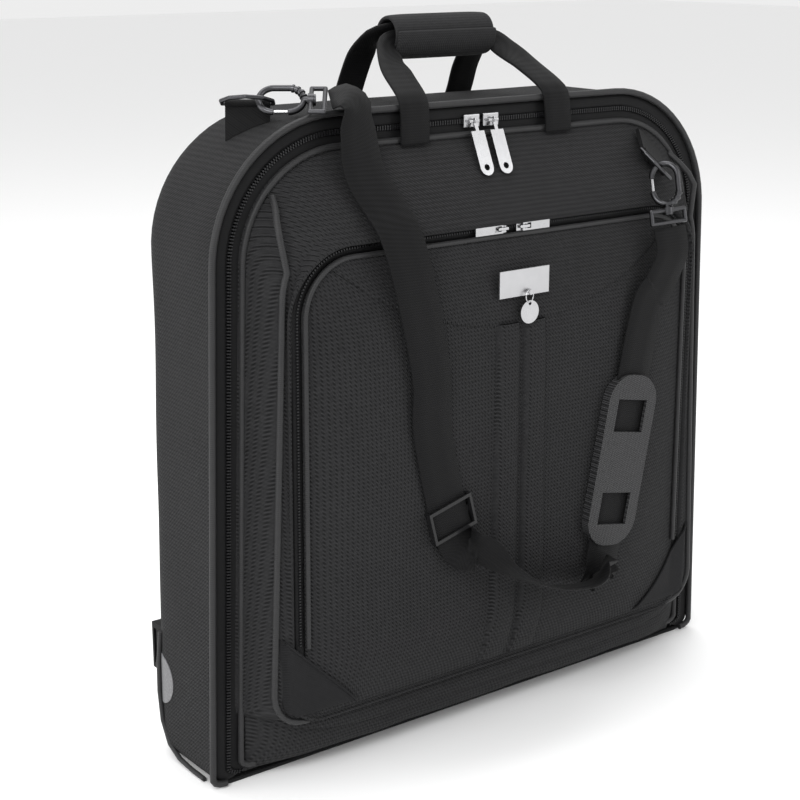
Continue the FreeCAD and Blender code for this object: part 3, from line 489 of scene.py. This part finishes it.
# piping: a satin cord sewn into a seam
pipings = {
    "outer": {"inset": -15 * mm, "y": -3.4 * mm, "radius": 2.9 * mm},
    "inner": {"inset": 11 * mm, "y": -6.2 * mm, "radius": 2.7 * mm},
}


def addCord(bm, points, radius, cyclic=False):
    curve = bpy.data.curves.new("cordLine", "CURVE")
    curve.dimensions = "3D"
    curve.bevel_depth = radius
    curve.bevel_resolution = 3
    curve.use_fill_caps = True
    spline = curve.splines.new("POLY")
    spline.points.add(len(points) - 1)
    for target, point in zip(spline.points, points):
        target.co = (*point, 1)
    spline.use_cyclic_u = cyclic
    drawn = bpy.data.objects.new("cordLine", curve)
    scene.collection.objects.link(drawn)
    bpy.context.view_layer.update()
    mesh = bpy.data.meshes.new_from_object(drawn.evaluated_get(bpy.context.evaluated_depsgraph_get()))
    bpy.data.objects.remove(drawn)
    bm.from_mesh(mesh)
    bpy.data.meshes.remove(mesh)


def makeCord(name, points, radius, slot, body, nodes=(), cyclic=False):
    bm = bmesh.new()
    addCord(bm, points, radius, cyclic)
    return finishPiece(name, bm, slot, body, nodes)


outer = pipings["outer"]
outline = archPoints(mainZip, outer["inset"], foot=stripFoot(outer["inset"]), closed=False)
route = [(x, outer["y"], z) for x, z in outline]
makeCord("outer_piping_cord", route, outer["radius"], "piping", "back_half", ["outer_piping"])
sideSeam = [(86, 112), (89.5, 84), (89, 56), (84, 30), (72, 12), (55, 4.5), (34, 2.8), (14, 2.8)]
seamCords = bmesh.new()
for side in (-1, 1):
    points = [(side * (mainZip["low"] + 13.4 * mm - 0.026 * z * mm), y * mm, z * mm) for y, z in sideSeam]
    addCord(seamCords, points, 2.2 * mm)
finishPiece("side_seam_cords", seamCords, "piping", "back_half")
inner = pipings["inner"]
outline = archPoints(mainZip, inner["inset"], foot=stripFoot(inner["inset"]), closed=False)
route = [(x, inner["y"], z) for x, z in outline]
makeCord("inner_piping_cord", route, inner["radius"], "piping", "front_half", ["inner_piping"])

# zips: two tapes, and a row of small teeth on each
zips = {"pitch": 2.6 * mm, "tooth": (1.5 * mm, 1.6 * mm, 2.3 * mm), "tape": 1.2 * mm}


def makeTape(name, arch, insets, y, body, nodes, foot, closed=False):
    bm = bmesh.new()
    loops = []
    for inset, lift in insets:
        outline = archPoints(arch, inset, foot=foot or stripFoot(inset), closed=closed)
        loops.append(addLoop(bm, [(x, y - lift, z) for x, z in outline], closed))
    bridge(bm, loops)
    return finishPiece(name, bm, "zip_tape", body, nodes, zips["tape"])


def walkAlong(points, pitch):
    gone = 0.0
    wanted = 0.0
    for start, end in zip(points, points[1:]):
        step = (end - start).length
        while step > 0 and wanted <= gone + step:
            yield start.lerp(end, (wanted - gone) / step), (end - start).normalized()
            wanted += pitch
        gone += step


def makeTeeth(name, arch, inset, y, body, nodes, foot, phase, keep=lambda place: True):
    bm = bmesh.new()
    outline = archPoints(arch, inset, foot=foot or stripFoot(inset), closed=False)
    points = [Vector((x, y, z)) for x, z in outline]
    along, out, across = zips["tooth"]
    for number, (place, ahead) in enumerate(walkAlong(points, zips["pitch"] / 2)):
        if number % 2 != phase or not keep(place):
            continue
        sideways = ahead.cross(Vector((0, 1, 0)))
        turn = Matrix((ahead, Vector((0, 1, 0)), sideways)).transposed().to_4x4()
        size = Matrix.Diagonal((along, out, across, 1))
        made = bmesh.ops.create_cube(bm, size=1, matrix=Matrix.Translation(place) @ turn @ size)
        front = [v for v in made["verts"] if v.co.y < y]
        bmesh.ops.scale(bm, vec=(0.72, 1, 0.72), verts=front, space=Matrix.Translation(-place))
    return finishPiece(name, bm, "zip_teeth", body, nodes, smooth=False)


makeTape("rear_tape", mainZip, [(-12.5 * mm, 0), (-9 * mm, 1 * mm),
                                (-4 * mm, 1.6 * mm), (-1.2 * mm, 1.2 * mm)],
         -1.2 * mm, "back_half", ["rear_zip_tape"], None)
makeTape("front_tape", mainZip, [(1.2 * mm, 1.2 * mm), (4 * mm, 1.6 * mm),
                                 (8 * mm, 2 * mm), (11 * mm, 2.6 * mm)],
         -1.2 * mm, "front_half", ["front_zip_tape"], None)
makeTeeth("rear_teeth", mainZip, -0.95 * mm, -3.6 * mm, "back_half", ["rear_zip_teeth"], None, 0)
makeTeeth("front_teeth", mainZip, 0.95 * mm, -3.6 * mm, "front_half", ["front_zip_teeth"], None, 1)
print("main zip made")

# front half: one soft shell from the zip to the pocket
lidShell = {"foot": 62 * mm, "plane": 34 * mm, "puff": 2.4 * mm, "hood": 5 * mm,
            "slopeSteps": 7, "hole": 58 * mm}
seam = {"half": 259 * mm, "front": 33 * mm, "middle": 34 * mm, "left": 64 * mm, "right": 50 * mm}


def seamAt(x):
    share = min(abs(x) / seam["half"], 1)
    end = seam["left"] if x < 0 else seam["right"]
    forward = -4.5 * mm - (seam["front"] - 4.5 * mm) * (1 - share ** 9)
    return forward, seam["middle"] + (end - seam["middle"]) * share ** 5


def lidStart(inset, y, tuck):
    points = []
    for x, z in archPoints(mainZip, inset, foot=lidShell["foot"]):
        if z > lidShell["foot"] + 3 * mm:
            points.append(Vector((x, y, z)))
        else:
            seamY, seamZ = seamAt(x)
            points.append(Vector((x, min(seamY + tuck, -1 * mm), seamZ)))
    return points


def makeLidShell(shape):
    bm = bmesh.new()
    start = lidStart(11 * mm, -4.5 * mm, 0)
    end = [Vector((x, -shape["plane"], z)) for x, z in archPoints(lidEdge, 0)]
    loops = [addLoop(bm, lidStart(8 * mm, -3 * mm, 2.5 * mm))]
    for i in range(shape["slopeSteps"] + 1):
        share = i / shape["slopeSteps"]
        points = []
        for a, b in zip(start, end):
            place = a.lerp(b, share)
            place.y += ripple(*place, 14, 1.0 * mm) - shape["puff"] * math.sin(math.pi * share)
            points.append(place)
        loops.append(addLoop(bm, points))
    steps = [(lidEdge, 4 * mm, 37), (lidEdge, 9 * mm, 38.5), (pocketEdge, -5 * mm, 40.5),
             (pocketEdge, -2 * mm, 40.8), (pocketEdge, -0.6 * mm, 38), (pocketEdge, 1.5 * mm, 35.5)]
    for edge, inset, y in steps:
        points = []
        for x, z in archPoints(edge, inset, foot=shape["hole"] + inset if edge is pocketEdge else None):
            hood = shape["hood"] * ease((z - 0.39) / 0.07) if edge is pocketEdge and inset < 0 else 0
            points.append((x, -y * mm - hood, z - hood * 0.5))
        loops.append(addLoop(bm, points))
    bridge(bm, loops)
    return finishPiece("lid_shell", bm, "body_fabric", "front_half", ["lid_gusset", "lid_panel"], 1.6 * mm)


makeLidShell(lidShell)

lidPipe = {"y": -36.5 * mm, "radius": 2.7 * mm,
           "straightTo": 450 * mm,
           "rising": [(229, 468, -35), (227, 478, -29), (223, 487, -21), (219, 495, -11)]}


def makeLidPiping(shape):
    ring = archPoints(lidEdge, 0.5 * mm)
    half = [(x, z) for x, z in ring if x > 0 and z < lidEdge["top"] - 0.6 * lidEdge["round"]]
    right = [Vector((x, shape["y"], z)) for x, z in half if z < shape["straightTo"]]
    right += [Vector((x * mm, y * mm, z * mm)) for x, z, y in shape["rising"]]
    left = [Vector((-p.x, p.y, p.z)) for p in reversed(right)]
    makeCord("lid_piping_cord", left + right, shape["radius"], "piping", "front_half", ["lid_piping"])


makeLidPiping(lidPipe)

# the fold: the panel that curls under the front half
foldPanel = {"half": 256 * mm, "lift": 7 * mm, "columns": 72,
             "rows": [(0.97, 1.08), (1.0, 0.94), (0.95, 0.72), (0.84, 0.46), (0.62, 0.26), (0.36, 0.13),
                      (0.05, 0.1)]}


def makeFoldPanel(shape):
    bm = bmesh.new()
    loops = []
    for deep, high in shape["rows"]:
        points = []
        for i in range(shape["columns"] + 1):
            share = -1 + 2 * i / shape["columns"]
            x = share * shape["half"]
            seamY, seamZ = seamAt(x)
            raised = shape["lift"] * (1 - share ** 6) * (1 - high) if high < 1 else 0
            fold = ripple(x, deep * 0.1, 0.1, 22, 2.2 * mm) * (1 if high < 0.9 else 0)
            points.append((x, min(deep * seamY - fold, -1 * mm), max(high * seamZ + raised, 2.6 * mm)))
        loops.append(addLoop(bm, points, closed=False))
    bridge(bm, loops)
    return finishPiece("fold_panel", bm, "body_fabric", "front_half", ["bottom_panel"], 1.6 * mm, subdivide=1)


makeFoldPanel(foldPanel)
print("front shell made")

# the pocket: zip, padded cover, yoke, ribs and corner patches
pocketShape = {"zipFace": 40.4 * mm, "dome": 17 * mm, "shoulder": 105 * mm, "half": 213 * mm, "top": 448 * mm,
               "foot": 60 * mm, "low": 215 * mm, "round": 48 * mm, "heel": 20 * mm}


def coverY(x, z):
    rise = swell(pocketShape["half"] - abs(x), pocketShape["shoulder"])
    rise *= swell(pocketShape["top"] - z, pocketShape["shoulder"]) * swell(z - pocketShape["foot"], 70 * mm)
    return -pocketShape["zipFace"] - (pocketShape["dome"] + ripple(x, 0, z, 9, 1.4 * mm)) * rise


def widthAt(arch, z):
    half = arch["low"] + (arch["high"] - arch["low"]) * (z - arch["foot"]) / (arch["top"] - arch["foot"])
    for name, over in (("round", z - arch["top"] + arch["round"]), ("heel", arch["foot"] + arch["heel"] - z)):
        radius = arch[name]
        if over > 0:
            half -= radius - math.sqrt(max(radius ** 2 - over ** 2, 0))
    return half


def makePocketCover(shape):
    bm = bmesh.new()
    bmesh.ops.create_grid(bm, x_segments=110, y_segments=110, size=1)
    edge = {"low": shape["low"], "high": shape["half"], "top": shape["top"], "round": shape["round"],
            "foot": shape["foot"], "heel": shape["heel"]}
    for vert in bm.verts:
        turn = math.pi * (vert.co.y + 1) / 2
        z = edge["foot"] + (edge["top"] - edge["foot"]) * (1 - math.cos(turn)) / 2
        x = vert.co.x * widthAt(edge, z)
        vert.co = (x, coverY(x, z), z)
    return finishPiece("pocket_cover", bm, "body_fabric", "front_half", ["pocket_panel"], 1.6 * mm)


pocketCover = makePocketCover(pocketShape)

yokeShape = {"centre": 661 * mm, "radius": 290 * mm, "half": 189 * mm, "proud": 1.5 * mm}


def makeYoke(shape):
    bm = bmesh.new()
    bmesh.ops.create_grid(bm, x_segments=90, y_segments=22, size=1)
    rounded = pocketEdge["round"] - 11 * mm
    cornerX = pocketEdge["high"] - pocketEdge["round"]
    for vert in bm.verts:
        u, v = vert.co.x, (vert.co.y + 1) / 2
        x = u * shape["half"]
        low = shape["centre"] - math.sqrt(shape["radius"] ** 2 - x * x)
        over = max(abs(x) - cornerX, 0)
        high = pocketEdge["top"] - pocketEdge["round"] + math.sqrt(max(rounded ** 2 - over ** 2, 0))
        z = low + (max(high, low + 0.5 * mm) - low) * v
        lift = shape["proud"] * ease(v / 0.06)
        vert.co = (x, coverY(x, z) - lift, z)
    return finishPiece("yoke", bm, "body_fabric", "front_half", ["yoke_panel"], 1.0 * mm)


yoke = makeYoke(yokeShape)
ribShape = {"gap": 1.4 * mm, "wide": 26 * mm, "flare": 6 * mm, "proud": 4.6 * mm,
            "low": 62 * mm, "high": 374 * mm}


def makeRibs(shape):
    bm = bmesh.new()
    for side in (-1, 1):
        made = bmesh.ops.create_grid(bm, x_segments=14, y_segments=60, size=1)
        for vert in made["verts"]:
            u, v = (vert.co.x + 1) / 2, (vert.co.y + 1) / 2
            z = shape["low"] + (shape["high"] - shape["low"]) * v
            x = shape["gap"] + u * (shape["wide"] + shape["flare"] * (1 - v))
            crown = (1 - abs(2 * u - 1) ** 3.2) ** 0.6
            y = coverY(x * side, z) - shape["proud"] * crown * min(1, 0.6 + 3 * v) + 1.2 * mm * (1 - crown)
            vert.co = (x * side, y, z)
    return finishPiece("padded_ribs", bm, "body_fabric", "front_half", ["front_ribs"], 0)


ribs = makeRibs(ribShape)


# the slanted edge of a corner patch, in millimetres: the zip and the piping end above it
patchEdge = {"foot": 61, "side": 74, "corner": 235, "clear": 6}


def clearOfPatches(place):
    edge = patchEdge["foot"] + patchEdge["side"] + abs(place.x) / mm - patchEdge["corner"]
    return place.z > (edge + patchEdge["clear"]) * mm


makeTape("pocket_tape", pocketEdge, [(-0.5 * mm, 0), (2 * mm, 1 * mm), (7 * mm, 1 * mm), (10 * mm, 0)],
         -38.6 * mm, "front_half", ["pocket_zip_tape"], 90 * mm)
makeTeeth("pocket_teeth", pocketEdge, 4 * mm, -40.4 * mm, "front_half", [], 100 * mm, 0, clearOfPatches)
pocketPipe = {"inset": 10.6 * mm, "y": -43 * mm, "radius": 2.2 * mm}
outline = archPoints(pocketEdge, pocketPipe["inset"])
kept = [Vector((x, pocketPipe["y"], z)) for x, z in outline if z > 90 * mm]
route = [place for place in kept if clearOfPatches(place)]
makeCord("pocket_piping_cord", route, pocketPipe["radius"], "piping", "front_half", ["pocket_piping"])

patchShape = {"corner": (238 * mm, 59 * mm), "side": 78 * mm, "centre": (214 * mm, 87 * mm), "round": 25 * mm}


def patchPoint(shape, side, u, v):
    cornerX, cornerZ = shape["corner"]
    x = cornerX - shape["side"] * (1 - v) * u
    z = cornerZ + shape["side"] * v
    centreX, centreZ = shape["centre"]
    if x > centreX and z < centreZ:
        away = math.hypot(x - centreX, z - centreZ)
        pull = min(1, shape["round"] / max(away, 1e-6))
        x, z = centreX + (x - centreX) * pull, centreZ + (z - centreZ) * pull
    tuck = ease(min(cornerX - x, z - cornerZ) / (7 * mm))
    under = -37.2 * mm
    return Vector((side * x, under + tuck * (coverY(x, z) - 1.7 * mm - under), z))


def makePatches(shape):
    bm = bmesh.new()
    for side in (-1, 1):
        made = bmesh.ops.create_grid(bm, x_segments=22, y_segments=22, size=1)
        for vert in made["verts"]:
            vert.co = patchPoint(shape, side, (vert.co.x + 1) / 2, (vert.co.y + 1) / 2)
    bmesh.ops.remove_doubles(bm, verts=bm.verts, dist=0.05 * mm)
    for side in (-1, 1):
        hem = [patchPoint(shape, side, 1, i / 20) + Vector((0, -0.5 * mm, 0)) for i in range(1, 20)]
        addCord(bm, hem, 1.0 * mm)
    return finishPiece("corner_patch_pair", bm, "patch_fabric", "front_half", ["corner_patches"], 0.8 * mm)


makePatches(patchShape)
print("pocket made")

# webbing: a flat woven strip along a smooth line
webbing = {"step": 4 * mm, "edge": 0.35}


def smoothStations(stations, step):
    rows = [(Vector(place) * mm, Vector(across).normalized(), wide * mm) for place, across, wide in stations]
    rows = [rows[0]] + rows + [rows[-1]]
    smooth = []
    for a, b, c, d in zip(rows, rows[1:], rows[2:], rows[3:]):
        count = max(2, int((c[0] - b[0]).length / step))
        for i in range(count):
            t = i / count
            place = 0.5 * (2 * b[0] + (c[0] - a[0]) * t + (2 * a[0] - 5 * b[0] + 4 * c[0] - d[0]) * t * t
                           + (3 * b[0] - a[0] - 3 * c[0] + d[0]) * t ** 3)
            mixed = ease(t)
            smooth.append((place, b[1].lerp(c[1], mixed).normalized(), b[2] + (c[2] - b[2]) * mixed))
    smooth.append((rows[-1][0], rows[-1][1], rows[-1][2]))
    return smooth


def webbingMesh(stations, thick, step=None):
    bm = bmesh.new()
    rows = smoothStations(stations, step or webbing["step"])
    loops = []
    for i, (place, across, wide) in enumerate(rows):
        ahead = (rows[min(i + 1, len(rows) - 1)][0] - rows[max(i - 1, 0)][0]).normalized()
        side = (across - ahead * across.dot(ahead)).normalized()
        normal = ahead.cross(side)
        half = wide / 2
        flat = thick / 2
        soft = thick * webbing["edge"]
        corners = [(-half, 0), (-half + soft, -flat), (-half / 3, -flat), (half / 3, -flat),
                   (half - soft, -flat),
                   (half, 0),
                   (half - soft, flat), (half / 3, flat), (-half / 3, flat), (-half + soft, flat)]
        loops.append(addLoop(bm, [place + side * a + normal * b for a, b in corners]))
    bridge(bm, loops)
    for loop in (loops[0], loops[-1]):
        bmesh.ops.edgeloop_fill(bm, edges=loop)
    length = sum((b[0] - a[0]).length for a, b in zip(rows, rows[1:]))
    return bm, length


# shoulder strap, from the left swivel over the top edge, through the glide and the pad to the right swivel
padPlace = Vector((117, -63, 229))
padAxis = Vector((0.19, 0, 0.98)).normalized()
glidePlace = Vector((-78, -61.5, 214))
glideAxis = Vector((-14, 0, 53)).normalized()
strapRoute = [
    ((-155.8, -0.4, 565), (0.57, 0.76, 0.33), 40),
    ((-148, -7, 569), (0.62, 0.7, 0.35), 40),
    ((-141, -16, 561), (0.8, 0.5, 0.33), 40),
    ((-143, -21, 538), (0.97, 0.2, 0.15), 40),
    ((-144, -31, 508), (1, 0, 0.05), 40),
    ((-134, -43, 483), (1, 0, 0.12), 40),
    ((-128, -56, 462), (1, 0, 0.2), 40),
    ((-121, -65, 424), (1, 0, 0.2), 40),
    ((-102, -63.5, 345), (1, 0, 0.2), 40),
    (glidePlace + glideAxis * 80, (1, 0, 0.26), 40),
    (glidePlace - glideAxis * 20, (1, 0, 0.26), 40),
    ((-56, -76, 184), (0.5, -0.8, 0.3), 40),
    ((-37, -82, 166), (0.2, -0.95, 0.15), 40),
    ((-16, -85, 152), (0.1, -0.98, 0.1), 40),
    ((10, -85, 139), (0.02, -0.98, 0.15), 40),
    ((38, -84, 130), (-0.05, -0.97, 0.25), 40),
    ((64, -83, 127), (-0.25, -0.93, 0.3), 40),
    ((86, -75, 131), (-0.65, -0.68, 0.35), 40),
    (padPlace - padAxis * 92, (-0.98, 0, 0.19), 40),
    (padPlace + padAxis * 122, (-0.98, 0, 0.19), 40),
    ((157, -65, 386), (-0.98, 0, 0.25), 40),
    ((168.2, -69.0, 414.6), (-1, 0, 0), 40),
    ((168.2, -64.3, 438.2), (-1, 0, 0), 40),
]
strapMesh, strapLength = webbingMesh(strapRoute, 2.0 * mm)
strap = finishPiece("strap_webbing", strapMesh, "webbing", "front_half", ["shoulder_strap"])
print("shoulder strap made, %.3f m" % strapLength)

# carry handles: two webbing loops, sewn to each half, and the padded wrap that joins them
handleLegs = {
    "front": [(79, -10.5, 525), (79, -10.8, 532), (78.5, -10, 545), (77.5, -5, 562), (72, 22, 580),
              (64, 44, 594)],
    "rear": [(63, 118, 528), (63, 112, 545), (63, 106, 558), (62, 98, 576), (62, 88, 592), (60, 80, 602)],
}
handleRuns = {"front": ((55, 604), (0, -0.5, -0.86)), "rear": ((68, 611), (0, 0.62, -0.78))}


def makeHandle(name, body, node, anchors):
    legs = handleLegs[name]
    (runY, runZ), lean = handleRuns[name]
    widths = [30] * (len(legs) - 1) + [26]
    turned = Vector((0.86, 0.5 * lean[1], 0.5 * lean[2]))
    sides = [Vector((1, 0, 0))] * (len(legs) - 1) + [turned]
    stations = [((-x, y, z), tuple(side), wide) for (x, y, z), side, wide in zip(legs, sides, widths)]
    stations += [((x, runY, runZ), lean, 20) for x in (-50, 0, 50)]
    for (x, y, z), side, wide in reversed(list(zip(legs, sides, widths))):
        stations.append(((x, y, z), (-side[0], side[1], side[2]), wide))
    mesh, length = webbingMesh(stations, 2.8 * mm)
    piece = finishPiece(name + "_handle_webbing", mesh, "webbing", body, [node, anchors])
    print(name, "handle webbing %.3f m" % length)
    return piece


makeHandle("front", "front_handle", "front_handle", "front_handle_anchors")
makeHandle("rear", "rear_handle", "rear_handle", "rear_handle_anchors")

gripShape = {"half": 54 * mm, "centre": (62 * mm, 608 * mm), "inside": 15.5 * mm, "outside": 19.5 * mm,
             "thick": 3.2 * mm}


def makeGrip(shape):
    bm = bmesh.new()
    centreY, centreZ = shape["centre"]
    loops = []
    for i in range(29):
        share = -1 + i / 14
        x = share * shape["half"]
        soften = 1 - 0.06 * abs(share) ** 6
        points = []
        for k in range(49):
            part = k / 48
            turn = math.radians(215 - 410 * part)
            radius = (shape["inside"] + (shape["outside"] - shape["inside"]) * part) * soften
            points.append((x, centreY + radius * math.cos(turn), centreZ + radius * math.sin(turn) * 1.08))
        loops.append(addLoop(bm, points, closed=False))
    bridge(bm, loops)
    return finishPiece("grip_roll", bm, "grip_fabric", "rear_handle", ["grip_wrap"], shape["thick"],
                       subdivide=1)


makeGrip(gripShape)
print("handles made")
